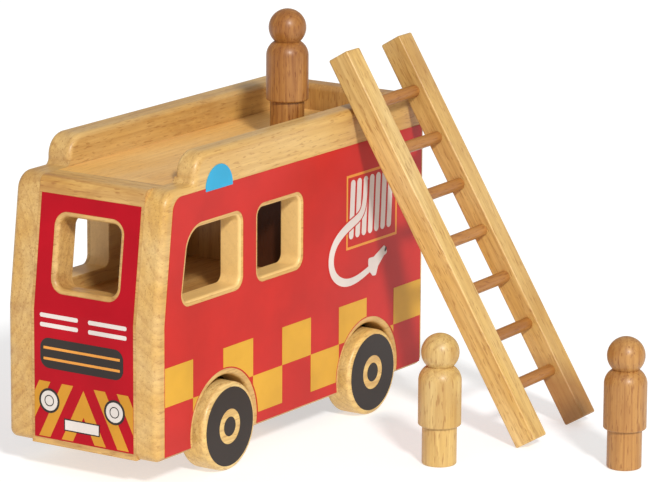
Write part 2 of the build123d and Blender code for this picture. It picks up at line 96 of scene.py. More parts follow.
class FireEnginePrint(bpy.types.PropertyGroup):
    """Sizes of the printed pictures, measured from the truck's front face and from the floor."""

    cell_length: length("Cell length", "Length of one square of the checker band", 0.03338)
    cell_height: length("Cell height", "Height of one square of the checker band", 0.02531)
    band_top: length("Band top", "Height of the checker band's top edge", 0.08003)
    band_front: length("Band front", "Front column edge, back from the front face", 0.0386)
    arch_rim: length("Arch rim", "Radius at which the squares stop round a wheel arch", 0.0381)
    beacon_setback: length("Beacon setback", "Beacon's middle, back from the front face", 0.0675)
    beacon_radius: length("Beacon radius", "Radius of the printed beacon's dome", 0.0148)
    beacon_foot: length("Beacon foot", "Height of the printed beacon's lower edge", 0.1854)
    rack_setback: length("Rack setback", "Hose rack's front edge, back from the front face", 0.2137)
    rack_length: length("Rack length", "Length of the hose rack's outline", 0.0614)
    rack_foot: length("Rack foot", "Height of the hose rack's lower edge", 0.117)
    rack_height: length("Rack height", "Height of the hose rack's outline", 0.0503)
    rack_line: length("Rack line", "Width of the hose rack's outline", 0.0017)
    hose_width: length("Hose width", "Width of the printed hose", 0.0054)
    hose_pitch: length("Hose pitch", "Distance between the hose's hanging runs", 0.00762)
    stripe_width: length("Stripe width", "Level width of a slanted front stripe", 0.0088)
    stripe_pitch: length("Stripe pitch", "Distance between the slanted front stripes", 0.018)
    stripe_top: length("Stripe top", "Height of the front stripes' upper ends", 0.0610)
    stripe_foot: length("Stripe foot", "Height of the front stripes' lower ends", 0.0246)
    grille_width: length("Grille width", "Width of the printed grille", 0.0652)
    grille_height: length("Grille height", "Height of the printed grille", 0.0198)
    grille_middle: length("Grille middle", "Height of the printed grille's middle", 0.0798)
    lamp_radius: length("Lamp radius", "Outer radius of a printed headlamp", 0.0081)
    lamp_spread: length("Lamp spread", "Headlamp's distance from the middle", 0.0257)
    lamp_height: length("Lamp height", "Height of the headlamps' middles", 0.0486)
    front_shift: length("Front shift", "How far lamps, grille and plate sit off the middle", -0.0013)
    plate_width: length("Plate width", "Width of the blank plate", 0.0281)
    plate_height: length("Plate height", "Height of the blank plate", 0.0080)
    plate_foot: length("Plate foot", "Height of the blank plate's lower edge", 0.0307)
    tyre_radius: length("Tyre radius", "Outer radius of the black printed on a wheel", 0.0259)
    ring_radius: length("Ring radius", "Outer radius of the bare ring on a wheel", 0.0115)
    hub_radius: length("Hub radius", "Radius of the black middle of a wheel", 0.0064)


class FireEngineColours(bpy.types.PropertyGroup):
    """Colours of the wood and the prints."""

    # The pale and dark wood tones also give the painted light on the window openings and the painted shade in
    # the body's rooms.
    wood_pale: colour("Pale wood", "Lightest tone of the boards", (0.72, 0.505, 0.205))
    wood_mid: colour("Middle wood", "Usual tone of the boards", (0.66, 0.40, 0.105))
    wood_dark: colour("Dark wood", "Pores and growth lines of the boards", (0.28, 0.105, 0.020))
    side_red: colour("Side red", "Printed red of the sides", (0.55, 0.018, 0.013))
    front_red: colour("Front red", "Printed red of the front", (0.45, 0.004, 0.013))
    yellow: colour("Yellow", "Printed yellow squares", (0.70, 0.37, 0.033))
    front_yellow: colour("Front yellow", "Printed yellow stripes of the front", (0.64, 0.29, 0.030))
    orange: colour("Orange", "Printed orange lines", (0.80, 0.32, 0.05))
    white: colour("White", "Printed white", (0.76, 0.68, 0.62))
    black: colour("Black", "Printed black", (0.028, 0.020, 0.016))
    blue: colour("Blue", "Printed blue of the beacon", (0.030, 0.38, 0.62))


class FireEngineStage(bpy.types.PropertyGroup):
    """The studio round the toy."""

    floor_size: length("Floor size", "Side of the pale floor", 60.0)
    floor_glow: amount("Floor glow", "Light that the floor gives off", 0.55)
    key_power: amount("Key power", "Strength of the key light", 2.78)
    key_angle: bpy.props.FloatProperty(
        name="Key angle", description="Width of the key light from the toy", default=0.13, subtype="ANGLE"
    )
    sky: amount("Sky", "Strength of the even light from all round", 0.46)


# Shader helpers


class Net:
    """A short way to write a node tree: add a node with its settings, and link sockets."""

    def __init__(self, tree):
        self.tree = tree

    def add(self, kind, ins=None, **settings):
        """A new node, its settings, and its inputs as constants or as sockets to link from."""
        node = self.tree.nodes.new(kind)
        for key, value in settings.items():
            setattr(node, key, value)
        for key, value in (ins or {}).items():
            socket = node.inputs[key]
            if isinstance(value, bpy.types.NodeSocket):
                self.tree.links.new(value, socket)
            else:
                socket.default_value = value
        return node

    def math(self, operation, *values):
        """The result of a math node."""
        return self.add("ShaderNodeMath", dict(enumerate(values)), operation=operation).outputs[0]

    def mix(self, factor, first, second, blend="MIX"):
        """The result of mixing two colours."""
        node = self.add("ShaderNodeMix", data_type="RGBA", blend_type=blend)
        for index, value in ((0, factor), (6, first), (7, second)):
            if isinstance(value, bpy.types.NodeSocket):
                self.tree.links.new(value, node.inputs[index])
            elif index:
                node.inputs[index].default_value = (*value[:3], 1.0)
            else:
                node.inputs[index].default_value = value
        return node.outputs[2]

    def ramp(self, factor, *stops):
        """A greyscale ramp through (position, value) stops."""
        node = self.add("ShaderNodeValToRGB", {"Fac": factor})
        elements = node.color_ramp.elements
        while len(elements) < len(stops):
            elements.new(0.5)
        for element, (position, value) in zip(elements, stops):
            element.position = position
            element.color = (value, value, value, 1.0)
        return node.outputs["Color"]


def blank_material(name, **shader):
    """A new material with a Principled shader whose constants are set on its own sockets."""
    material = bpy.data.materials.new(name)
    material.use_nodes = True
    material.node_tree.nodes.clear()
    net = Net(material.node_tree)
    settings = {key.replace("_", " "): value for key, value in shader.items()}
    surface = net.add("ShaderNodeBsdfPrincipled", settings)
    net.add("ShaderNodeOutputMaterial", {"Surface": surface.outputs[0]})
    return material, net, surface


def edge_mask(net, reach):
    """How near a point is to a sharp edge of its own board, from 0 to 1."""
    eased = net.add("ShaderNodeBevel", {"Radius": reach}, samples=4).outputs[0]
    true = net.add("ShaderNodeNewGeometry").outputs["Normal"]
    agree = net.add("ShaderNodeVectorMath", {0: eased, 1: true}, operation="DOT_PRODUCT").outputs["Value"]
    return net.ramp(net.math("SUBTRACT", 1.0, agree), (0.01, 0.0), (0.16, 1.0))


def blend_towards(net, body, mask, share, tone):
    """A colour mixed towards a tone by a share of a mask."""
    return net.mix(net.math("MULTIPLY", mask, share), body, tone)


def between(net, value, low, high):
    """1 where a coordinate lies between two limits, otherwise 0."""
    above = net.math("GREATER_THAN", value, low)
    return net.math("MULTIPLY", above, net.math("LESS_THAN", value, high))


def hollow(net, place, back, front):
    """1 on the faces that close a room of the body between two distances from front to back."""
    apart = net.add("ShaderNodeSeparateXYZ", {"Vector": place}).outputs
    lengthwise = between(net, apart[0], back, front)
    inside = net.math("MULTIPLY", lengthwise, between(net, apart[1], -ROOM_Y, ROOM_Y))
    return net.math("MULTIPLY", inside, net.math("LESS_THAN", apart[2], DECK_BOX[0].z + SKIN))


def opening(net, place):
    """1 on the faces cut through a side panel by its windows."""
    apart = net.add("ShaderNodeSeparateXYZ", {"Vector": place}).outputs
    depth = between(net, net.math("ABSOLUTE", apart[1]), ROOM_Y + 0.0004, SIDE_Y - 0.0004)
    cut = net.math("MULTIPLY", between(net, apart[0], REAR_ROOM_X, CAB_ROOM_X), depth)
    return net.math("MULTIPLY", cut, between(net, apart[2], WINDOW_FOOT_Z, DECK_BOX[0].z))


def paint_room_shade_and_window_light(net, place, body, pale, dark):
    """A board's colour with painted shade in the body's rooms, the rear room almost black and the cab
    browner, and painted light on the window openings.
    """
    # Painted shade: a near-black tone for the rear room.
    painted_shade_tone = (dark[0] * 0.16, dark[1] * 0.05, dark[2] * 0.08)
    across = net.add("ShaderNodeSeparateXYZ", {"Vector": place}).outputs[1]
    # Painted shade across the rear room, deeper towards the truck's left side.
    painted_shade_ramp = net.ramp(net.math("MULTIPLY_ADD", across, 25.0, 0.5), (0.35, 0.25), (0.75, 1.0))
    painted_shade_mask = net.math("MULTIPLY", hollow(net, place, REAR_ROOM_X, WALL_X), painted_shade_ramp)
    # Painted shade in the cab: its inner faces turn browner.
    body = blend_towards(net, body, hollow(net, place, WALL_X, CAB_ROOM_X), 0.22, dark)
    body = blend_towards(net, body, painted_shade_mask, 0.97, painted_shade_tone)
    # Painted light: the faces of the window openings are lightened.
    painted_light_tone = tuple(min(0.92, channel * 1.3) for channel in pale)
    return blend_towards(net, body, opening(net, place), 0.6, painted_light_tone)


def wood(
    name,
    tones,
    turn=(0.0, 0.0, 0.0),
    shift=(0.0, 0.0, 0.0),
    rings=0.007,
    contrast=1.0,
    blotch=0.3,
    foot=0.0,
    room_shade_and_window_light=False,
):
    """Lacquered wood. turn brings the grain on to Z, and shift picks the stretch of the log.

    foot is a height below which the wood turns darker towards the bottom, and rooms paints shade on the
    body's inner faces and light on the window openings.
    """
    pale, middle, dark = tones
    material, net, surface = blank_material(name, Coat_Weight=0.15, Coat_Roughness=0.26, IOR=1.45)
    place = net.add("ShaderNodeTexCoord").outputs["Object"]
    log = net.add("ShaderNodeMapping", {"Vector": place, "Location": shift, "Rotation": turn}).outputs[0]

    def along(across, lengthwise, detail, roughness=0.6, distortion=0.0):
        """Noise stretched along the grain: its scale across it and along it, per metre."""
        scale = (across, across, lengthwise)
        stretch = net.add("ShaderNodeMapping", {"Vector": log, "Scale": scale}).outputs[0]
        settings = {"Vector": stretch, "Scale": 1.0, "Detail": detail}
        settings.update({"Roughness": roughness, "Distortion": distortion})
        return net.add("ShaderNodeTexNoise", settings).outputs["Fac"]

    wander = along(14.0, 3.5, 2.0)
    apart = net.add("ShaderNodeSeparateXYZ", {"Vector": log})
    squares = [net.math("POWER", apart.outputs[axis], 2.0) for axis in (0, 1)]
    radius = net.math("SQRT", net.math("ADD", *squares))
    bent = net.math("ADD", radius, net.math("MULTIPLY", wander, 0.022))
    growth = net.math("FRACT", net.math("MULTIPLY", bent, 1.0 / rings))
    ring = net.ramp(growth, (0.0, 0.10), (0.60, 0.25), (0.90, 1.0), (1.0, 0.05))
    cloud = net.ramp(along(30.0, 9.0, 3.0), (0.32, 0.0), (0.68, 1.0))
    patch = net.ramp(along(42.0, 16.0, 4.0, 0.65, 0.4), (0.50, 0.0), (0.72, 1.0))
    strand = net.ramp(along(330.0, 10.0, 2.0), (0.38, 0.0), (0.74, 1.0))
    fibre = along(950.0, 26.0, 3.0, 0.7)
    pore = net.ramp(along(820.0, 120.0, 2.0, 0.5, 0.2), (0.58, 0.0), (0.68, 1.0))
    body = net.mix(cloud, pale, middle)
    body = blend_towards(net, body, patch, blotch, dark)
    body = blend_towards(net, body, strand, 0.26 * contrast, dark)
    body = blend_towards(net, body, ring, 0.22 * contrast, dark)
    body = blend_towards(net, body, net.ramp(fibre, (0.42, 0.0), (0.72, 1.0)), 0.18 * contrast, dark)
    body = blend_towards(net, body, pore, 0.42 * contrast, dark)
    # Darker along each board's own sharp edges, convex and concave alike.
    body = blend_towards(net, body, edge_mask(net, 0.0011), 0.34, dark)
    # Below the height foot the wood turns darker towards the bottom.
    if foot:
        above_floor = net.add("ShaderNodeSeparateXYZ", {"Vector": place}).outputs[2]
        level = net.math("ADD", net.math("DIVIDE", above_floor, foot), net.math("MULTIPLY", cloud, 0.3))
        body = net.mix(net.ramp(net.math("MULTIPLY", level, 0.5), (0.38, 0.72), (0.62, 0.0)), body, dark)
    # Painted shade in the body's rooms and painted light on the window openings.
    if room_shade_and_window_light:
        body = paint_room_shade_and_window_light(net, place, body, pale, dark)
    gloss = net.math("ADD", net.math("MULTIPLY", fibre, 0.16), 0.38)
    height = net.math("SUBTRACT", net.math("MULTIPLY", fibre, 0.5), net.math("MULTIPLY", pore, 0.8))
    bump = net.add("ShaderNodeBump", {"Height": height, "Strength": 0.2, "Distance": 0.00025})
    net.tree.links.new(body, surface.inputs["Base Color"])
    net.tree.links.new(gloss, surface.inputs["Roughness"])
    net.tree.links.new(bump.outputs[0], surface.inputs["Normal"])
    return material


def ink(name, tone, deep=0.82, gloss=0.36, shine=0.3):
    """Printed ink or film on wood: slight unevenness, a fine tooth, and the grain showing through."""
    material, net, surface = blank_material(name, IOR=1.46, Specular_IOR_Level=shine)
    place = net.add("ShaderNodeTexCoord").outputs["Object"]
    broad = net.add("ShaderNodeTexNoise", {"Vector": place, "Scale": 30.0, "Detail": 3.0}).outputs["Fac"]
    fine = net.add("ShaderNodeTexNoise", {"Vector": place, "Scale": 1500.0, "Detail": 2.0}).outputs["Fac"]
    stretch = net.add("ShaderNodeMapping", {"Vector": place, "Scale": (40.0, 420.0, 420.0)}).outputs[0]
    grain = net.add("ShaderNodeTexNoise", {"Vector": stretch, "Scale": 1.0, "Detail": 3.0}).outputs["Fac"]
    shade = tuple(channel * deep for channel in tone)
    body = net.mix(net.ramp(broad, (0.3, 0.0), (0.7, 1.0)), tone, shade)
    body = net.mix(net.math("MULTIPLY", net.ramp(grain, (0.4, 0.0), (0.8, 1.0)), 0.12), body, shade)
    body = net.mix(net.math("MULTIPLY", fine, 0.10), body, shade)
    rough = net.math("ADD", net.math("MULTIPLY", fine, 0.12), gloss)
    height = net.math("ADD", net.math("MULTIPLY", fine, 0.5), grain)
    bump = net.add("ShaderNodeBump", {"Height": height, "Strength": 0.10, "Distance": 0.00012})
    net.tree.links.new(body, surface.inputs["Base Color"])
    net.tree.links.new(rough, surface.inputs["Roughness"])
    net.tree.links.new(bump.outputs[0], surface.inputs["Normal"])
    return material


# Flat shapes


def rounded(corners, steps=ROUND_STEPS):
    """Points of a closed outline through (a, b, radius) corners, each rounded by a tangent arc."""
    points = []
    for i, (a, b, radius) in enumerate(corners):
        here = Vector((a, b))
        if radius == 0:
            points.append(here)
            continue
        back = (Vector(corners[i - 1][:2]) - here).normalized()
        ahead = (Vector(corners[(i + 1) % len(corners)][:2]) - here).normalized()
        half = back.angle(ahead) / 2
        centre = here + (back + ahead).normalized() * (radius / math.sin(half))
        start = here + back * (radius / math.tan(half)) - centre
        end = here + ahead * (radius / math.tan(half)) - centre
        sweep = start.angle_signed(end)
        for k in range(steps + 1):
            points.append(centre + Matrix.Rotation(-sweep * k / steps, 2) @ start)
    return points


def rectangle(low, high, radius=0.0):
    """Points of a rectangle between two corners, with rounded corners if a radius is given."""
    (a0, b0), (a1, b1) = low, high
    return rounded([(a0, b0, radius), (a1, b0, radius), (a1, b1, radius), (a0, b1, radius)])


def circle(centre, radius, steps=72):
    """Points round a circle."""
    turns = [2 * math.pi * k / steps for k in range(steps)]
    return [Vector((centre[0] + radius * math.cos(t), centre[1] + radius * math.sin(t))) for t in turns]


def on_side(side, faces=FILM_FACE):
    """Where (x, z, height off a face) is on the left side, 1, or on the right, -1."""
    return lambda a, b, h: (a, side * (faces[side] + h), b)


def on_front(a, b, h):
    """Where (y, z, height off the sheet) is on the upright part of the front."""
    return (FRONT_FILM_BOX[1].x + h, a, b)


def on_wheel(side):
    """Where (x, z, height off the wheel's face) is on a left or right wheel."""
    return lambda a, b, h: (a, side * (WHEEL_FACE_Y + h), b)


def plate(bm, outline, place, hole=None, low=0.0, high=INK):
    """Adds a thin closed plate with a flat outline, or with a like-numbered hole inside it."""
    loops = [outline] if hole is None else [outline, hole]
    rows = [[bm.verts.new(place(p[0], p[1], h)) for p in loop] for loop in loops for h in (low, high)]
    count = len(outline)
    for k in range(len(loops)):
        foot, top = rows[2 * k], rows[2 * k + 1]
        for i in range(count):
            j = (i + 1) % count
            bm.faces.new((foot[i], foot[j], top[j], top[i]))
    if hole is None:
        bm.faces.new(rows[0])
        bm.faces.new(rows[1])
        return
    for outer, inner in ((rows[0], rows[2]), (rows[1], rows[3])):
        for i in range(count):
            j = (i + 1) % count
            bm.faces.new((outer[i], outer[j], inner[j], inner[i]))


def finished(name, bm, material, body):
    """A finished piece from a bmesh: normals outwards, its material and its body."""
    bmesh.ops.recalc_face_normals(bm, faces=bm.faces)
    mesh = bpy.data.meshes.new(name)
    bm.to_mesh(mesh)
    bm.free()
    mesh.materials.append(material)
    return placed(name, mesh, body)


def placed(name, mesh, body):
    """An object at the origin that holds a mesh and rides on a body."""
    piece = bpy.data.objects.new(name, mesh)
    bpy.context.scene.collection.objects.link(piece)
    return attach(piece, body)


def smooth_line(points, steps=12):
    """Points along one smooth NURBS line through the neighbourhood of flat control points."""
    curve = bpy.data.curves.new("line", "CURVE")
    curve.dimensions = "3D"
    curve.resolution_u = steps
    spline = curve.splines.new("NURBS")
    spline.points.add(len(points) - 1)
    for knot, (a, b) in zip(spline.points, points):
        knot.co = (a, b, 0.0, 1.0)
    spline.order_u = 4
    spline.use_endpoint_u = True
    holder = bpy.data.objects.new("line", curve)
    bpy.context.scene.collection.objects.link(holder)
    evaluated = holder.evaluated_get(bpy.context.evaluated_depsgraph_get())
    mesh = bpy.data.meshes.new_from_object(evaluated)
    line = [v.co.xy.copy() for v in mesh.vertices]
    bpy.data.objects.remove(holder)
    bpy.data.meshes.remove(mesh)
    return line


def ribbon(line, width, swell=0.0):
    """The closed outline of a band along a line, square-ended, and wider by swell in its middle."""
    left, right = [], []
    for i, here in enumerate(line):
        ahead = line[min(i + 1, len(line) - 1)] - line[max(i - 1, 0)]
        grown = width + swell * math.sin(math.pi * i / (len(line) - 1))
        across = Vector((-ahead.y, ahead.x)).normalized() * grown / 2
        left.append(here + across)
        right.append(here - across)
    return left + right[::-1]


# Geometry Nodes helpers


def geometry_tree(name, inputs):
    """A new Geometry Nodes tree with named inputs, its Net and its group input node."""
    tree = bpy.data.node_groups.new(name, "GeometryNodeTree")
    kinds = {"length": "NodeSocketFloat", "count": "NodeSocketInt", "ink": "NodeSocketMaterial"}
    for label, kind in inputs.items():
        tree.interface.new_socket(label, in_out="INPUT", socket_type=kinds[kind])
    tree.interface.new_socket("Geometry", in_out="OUTPUT", socket_type="NodeSocketGeometry")
    net = Net(tree)
    return tree, net, net.add("NodeGroupInput").outputs


def close_tree(net, geometry, material):
    """Ends a tree in Realize Instances and Set Material."""
    real = net.add("GeometryNodeRealizeInstances", {"Geometry": geometry}).outputs[0]
    painted = net.add("GeometryNodeSetMaterial", {"Geometry": real, "Material": material}).outputs[0]
    net.add("NodeGroupOutput", {"Geometry": painted})


def grow(tree, values):
    """The plain mesh that a tree makes with these input values."""
    holder = bpy.data.objects.new("holder", bpy.data.meshes.new("holder"))
    bpy.context.scene.collection.objects.link(holder)
    modifier = holder.modifiers.new("grow", "NODES")
    modifier.node_group = tree
    for item in tree.interface.items_tree:
        if item.in_out == "INPUT":
            modifier[item.identifier] = values[item.name]
    bpy.context.view_layer.update()
    evaluated = holder.evaluated_get(bpy.context.evaluated_depsgraph_get())
    mesh = bpy.data.meshes.new_from_object(evaluated)
    holder.modifiers.remove(modifier)
    bpy.data.objects.remove(holder)
    return mesh


def mirrored(mesh, name):
    """A copy of a mesh mirrored to the truck's other side, with its faces turned outwards again."""
    copy = mesh.copy()
    copy.name = name
    copy.transform(Matrix.Translation((0, FILM_FACE[1] - FILM_FACE[-1], 0)) @ Matrix.Scale(-1, 4, (0, 1, 0)))
    copy.flip_normals()
    return copy


def vector(net, x=0.0, y=0.0, z=0.0):
    """A vector socket from three values or sockets."""
    return net.add("ShaderNodeCombineXYZ", {"X": x, "Y": y, "Z": z}).outputs[0]


def checker_tree():
    """Two rows of squares, every other one, cut off by the wheel arches and the sheet's ends."""
    names = ("Cell Length", "Cell Height", "Top", "Front", "Face", "Thickness")
    more = ("Arch Radius", "Axle Height", "Front Axle", "Rear Axle", "Sheet Front", "Sheet Rear")
    inputs = {label: "length" for label in names + more}
    inputs.update({"Squares": "count", "Ink": "ink"})
    tree, net, given = geometry_tree("checker_band", inputs)
    square = net.add(
        "GeometryNodeMeshCube",
        {"Size": vector(net, given["Cell Length"], given["Thickness"], given["Cell Height"])},
    ).outputs[0]
    middle_y = net.math("ADD", given["Face"], net.math("MULTIPLY", given["Thickness"], 0.5))
    step = vector(net, net.math("MULTIPLY", given["Cell Length"], -2.0))
    rows = net.add("GeometryNodeJoinGeometry")
    for row, half_cells in ((0.5, 0.5), (1.5, -0.5)):
        x = net.math("ADD", given["Front"], net.math("MULTIPLY", given["Cell Length"], half_cells))
        z = net.math("SUBTRACT", given["Top"], net.math("MULTIPLY", given["Cell Height"], row))
        line = net.add("GeometryNodeMeshLine", {"Count": given["Squares"], "Offset": step}, mode="OFFSET")
        net.tree.links.new(vector(net, x, middle_y, z), line.inputs["Start Location"])
        laid = net.add("GeometryNodeInstanceOnPoints", {"Points": line.outputs[0], "Instance": square})
        net.tree.links.new(laid.outputs[0], rows.inputs[0])
    squares = net.add("GeometryNodeRealizeInstances", {"Geometry": rows.outputs[0]}).outputs[0]
    span = net.math("SUBTRACT", given["Sheet Front"], given["Sheet Rear"])
    sheet_x = net.math("MULTIPLY", net.math("ADD", given["Sheet Front"], given["Sheet Rear"]), 0.5)
    sheet = net.add("GeometryNodeMeshCube", {"Size": vector(net, span, 1.0, 1.0)}).outputs[0]
    shift = {"Geometry": sheet, "Translation": vector(net, sheet_x)}
    sheet = net.add("GeometryNodeTransform", shift).outputs[0]
    kept = net.add("GeometryNodeMeshBoolean", operation="INTERSECT", solver="EXACT")
    net.tree.links.new(squares, kept.inputs["Mesh 2"])
    net.tree.links.new(sheet, kept.inputs["Mesh 2"])
    disc = net.add(
        "GeometryNodeMeshCylinder", {"Vertices": 96, "Radius": given["Arch Radius"], "Depth": 1.0}
    ).outputs[0]
    whole = {"Mesh 1": kept.outputs[0]}
    cut = net.add("GeometryNodeMeshBoolean", whole, operation="DIFFERENCE", solver="EXACT")
    for axle in ("Front Axle", "Rear Axle"):
        hole = net.add(
            "GeometryNodeTransform",
            {"Geometry": disc, "Translation": vector(net, given[axle], 0.0, given["Axle Height"])},
        )
        hole.inputs["Rotation"].default_value = (math.pi / 2, 0.0, 0.0)
        net.tree.links.new(hole.outputs[0], cut.inputs["Mesh 2"])
    close_tree(net, cut.outputs[0], given["Ink"])
    return tree


def hose_runs_tree():
    """A row of upright round-ended bars, a little slanted: the hanging runs of the folded hose."""
    names = ("Width", "Pitch", "Half Length", "Front", "Middle Height", "Face", "Thickness", "Slant")
    inputs = {label: "length" for label in names}
    inputs.update({"Runs": "count", "Ink": "ink"})
    tree, net, given = geometry_tree("hose_runs", inputs)
    radius = net.math("MULTIPLY", given["Width"], 0.5)
    size = {"Vertices": 32, "Radius": radius, "Depth": given["Thickness"]}
    disc = net.add("GeometryNodeMeshCylinder", size)
    turned = net.add("GeometryNodeTransform", {"Geometry": disc.outputs[0]})
    turned.inputs["Rotation"].default_value = (math.pi / 2, 0.0, 0.0)
    apart = net.add("ShaderNodeSeparateXYZ", {"Vector": net.add("GeometryNodeInputPosition").outputs[0]})
    sign = net.math("SIGN", net.math("ADD", apart.outputs[2], 1e-6))
    reach = net.math("MULTIPLY", sign, given["Half Length"])
    lean = net.math("MULTIPLY", sign, given["Slant"])
    bar = net.add(
        "GeometryNodeSetPosition", {"Geometry": turned.outputs[0], "Offset": vector(net, lean, 0.0, reach)}
    ).outputs[0]
    middle_y = net.math("ADD", given["Face"], net.math("MULTIPLY", given["Thickness"], 0.5))
    line = net.add("GeometryNodeMeshLine", {"Count": given["Runs"]}, mode="OFFSET")
    start = vector(net, given["Front"], middle_y, given["Middle Height"])
    net.tree.links.new(start, line.inputs["Start Location"])
    net.tree.links.new(vector(net, net.math("MULTIPLY", given["Pitch"], -1.0)), line.inputs["Offset"])
    laid = net.add("GeometryNodeInstanceOnPoints", {"Points": line.outputs[0], "Instance": bar})
    close_tree(net, laid.outputs[0], given["Ink"])
    return tree


def stripes_tree():
    """Slanted stripes that meet on the middle line, cut off at the sheet's edges."""
    names = ("Width", "Pitch", "Top", "Foot", "Slope", "First", "Face", "Thickness", "Sheet Half")
    inputs = {label: "length" for label in names}
    inputs.update({"Stripes": "count", "Ink": "ink"})
    tree, net, given = geometry_tree("front_stripes", inputs)
    tall = net.math("SUBTRACT", given["Top"], given["Foot"])
    middle_z = net.math("MULTIPLY", net.math("ADD", given["Top"], given["Foot"]), 0.5)
    middle_x = net.math("ADD", given["Face"], net.math("MULTIPLY", given["Thickness"], 0.5))
    size = vector(net, given["Thickness"], given["Width"], tall)
    bar = net.add("GeometryNodeMeshCube", {"Size": size}).outputs[0]
    line = net.add("GeometryNodeMeshLine", {"Count": given["Stripes"]}, mode="OFFSET")
    net.tree.links.new(vector(net, middle_x, given["First"], middle_z), line.inputs["Start Location"])
    net.tree.links.new(vector(net, 0.0, given["Pitch"]), line.inputs["Offset"])
    laid = net.add("GeometryNodeInstanceOnPoints", {"Points": line.outputs[0], "Instance": bar}).outputs[0]
    real = net.add("GeometryNodeRealizeInstances", {"Geometry": laid}).outputs[0]
    apart = net.add("ShaderNodeSeparateXYZ", {"Vector": net.add("GeometryNodeInputPosition").outputs[0]})
    below = net.math("SUBTRACT", given["Top"], apart.outputs[2])
    slid = net.math("MULTIPLY", below, given["Slope"])
    moved = {"Geometry": real, "Offset": vector(net, 0.0, slid)}
    leaning = net.add("GeometryNodeSetPosition", moved).outputs[0]
    half_y = net.math("MULTIPLY", given["Sheet Half"], 0.5)
    sheet = net.add("GeometryNodeMeshCube", {"Size": vector(net, 1.0, given["Sheet Half"], 1.0)}).outputs[0]
    shift = {"Geometry": sheet, "Translation": vector(net, 0.0, half_y)}
    sheet = net.add("GeometryNodeTransform", shift).outputs[0]
    half = net.add("GeometryNodeMeshBoolean", operation="INTERSECT", solver="EXACT")
    net.tree.links.new(leaning, half.inputs["Mesh 2"])
    net.tree.links.new(sheet, half.inputs["Mesh 2"])
    other = net.add("GeometryNodeTransform", {"Geometry": half.outputs[0]})
    other.inputs["Scale"].default_value = (1.0, -1.0, 1.0)
    turned = net.add("GeometryNodeFlipFaces", {"Mesh": other.outputs[0]}).outputs[0]
    both = net.add("GeometryNodeMeshBoolean", operation="UNION", solver="EXACT")
    net.tree.links.new(half.outputs[0], both.inputs["Mesh 2"])
    net.tree.links.new(turned, both.inputs["Mesh 2"])
    close_tree(net, both.outputs[0], given["Ink"])
    return tree


# Finishes by name, made once

FINISHES = {}


def finish(name):
    """One of the toy's finishes, made the first time that it is asked for."""
    if name not in FINISHES:
        FINISHES[name] = make_finish(name)
    return FINISHES[name]


def tones(colours, pale=1.0, deep=1.0, warm=1.0):
    """The three wood tones, lightened or deepened, and warmed by holding back their blue."""
    scales = (pale, deep, deep)
    bases = (colours.wood_pale, colours.wood_mid, colours.wood_dark)
    return [(b[0] * s, b[1] * s * warm**0.5, b[2] * s * warm) for b, s in zip(bases, scales)]


def make_finish(name):
    """Makes one finish: each kind of board, turned piece and ink has its own wood or tone."""
    colours = bpy.context.scene.fire_engine_colours
    quarter = math.pi / 2
    along_x = (0.0, -quarter, 0.0)
    along_y = (quarter, 0.0, 0.0)
    upright = (0.0, 0.0, 0.0)

    def shades(*scales):
        return tones(colours, *scales)

    # A True at the end of a board's entry paints shade in the body's rooms and light on its window openings.
    woods = {
        "left_side": (shades(1.0, 1.0, 0.92), along_x, (0.185, -0.108, 0.02), 0.0085, 1.0, 0.16, 0.0, True),
        "right_side": (shades(0.93, 0.95, 0.9), along_x, (0.13, 0.12, 0.31), 0.008, 1.1, 0.5, 0.0, True),
        "front": (shades(0.97, 1.0, 0.88), along_y, (0.02, 0.11, 0.5), 0.006, 1.3, 0.6, 0.0, True),
        "rear": (shades(0.82, 0.72, 0.70), upright, (0.23, 0.04, 0.7), 0.006, 1.2, 0.3, 0.0, True),
        "deck": (shades(1.22, 1.26, 0.80), along_x, (0.02, 0.01, 0.9), 0.006, 0.8, 0.12, 0.0, True),
        "inside": (shades(0.9, 0.85, 0.75), along_x, (0.06, 0.07, 1.3), 0.006, 1.0, 0.3, 0.0, True),
        "wall": (shades(0.88, 0.85, 0.75), upright, (0.06, 0.07, 1.7), 0.006, 1.0, 0.3, 0.0, True),
        "wheels": (shades(1.14, 1.14, 1.15), along_x, (0.04, -0.07, 2.1), 0.006, 1.2, 0.4),
        "dowel": (shades(0.95, 0.9), along_y, (0.01, 0.02, 2.6), 0.006, 1.0, 0.2),
        "front_stile": (shades(1.12, 1.08, 1.05), STILE_TURN, (0.03, 0.05, 3.1), 0.005, 1.3, 0.2),
        # The rear stile turns darker towards its foot, below 45 mm.
        "rear_stile": (shades(1.0, 0.97, 0.95), STILE_TURN, (0.09, 0.08, 3.7), 0.005, 1.2, 0.4, 0.045),
        "rungs": (shades(0.71, 0.58, 0.42), along_x, (0.02, 0.03, 4.2), 0.004, 1.0, 0.2),
        "light_figure": (shades(0.96, 1.0, 1.1), upright, (0.012, -0.15, 4.7), 0.004, 1.3, 0.3),
        "mid_figure": (shades(0.74, 0.70, 0.56), upright, (0.055, -0.25, 5.2), 0.004, 1.3, 0.4),
        "dark_figure": (shades(0.70, 0.62, 0.48), upright, (0.03, -0.04, 5.7), 0.0035, 1.8, 0.6),
    }
    if name in woods:
        return wood(f"wood_{name}", *woods[name])
    tone = tuple(getattr(colours, name))
    return ink(f"print_{name}", tone, shine=0.12 if name.startswith("front") else 0.3)


LADDER_RISE = STILE_BOX[1].z - STILE_BOX[0].z
LADDER_RUN = STILE_BOX[1].y - STILE_BOX[0].y
STILE_TURN = (-math.atan2(LADDER_RUN, LADDER_RISE), 0.0, 0.0)


def coat(node, name):
    """Gives a CAD node one of the finishes."""
    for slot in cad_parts[node].material_slots:
        slot.material = finish(name)


# One operator for each group of pieces


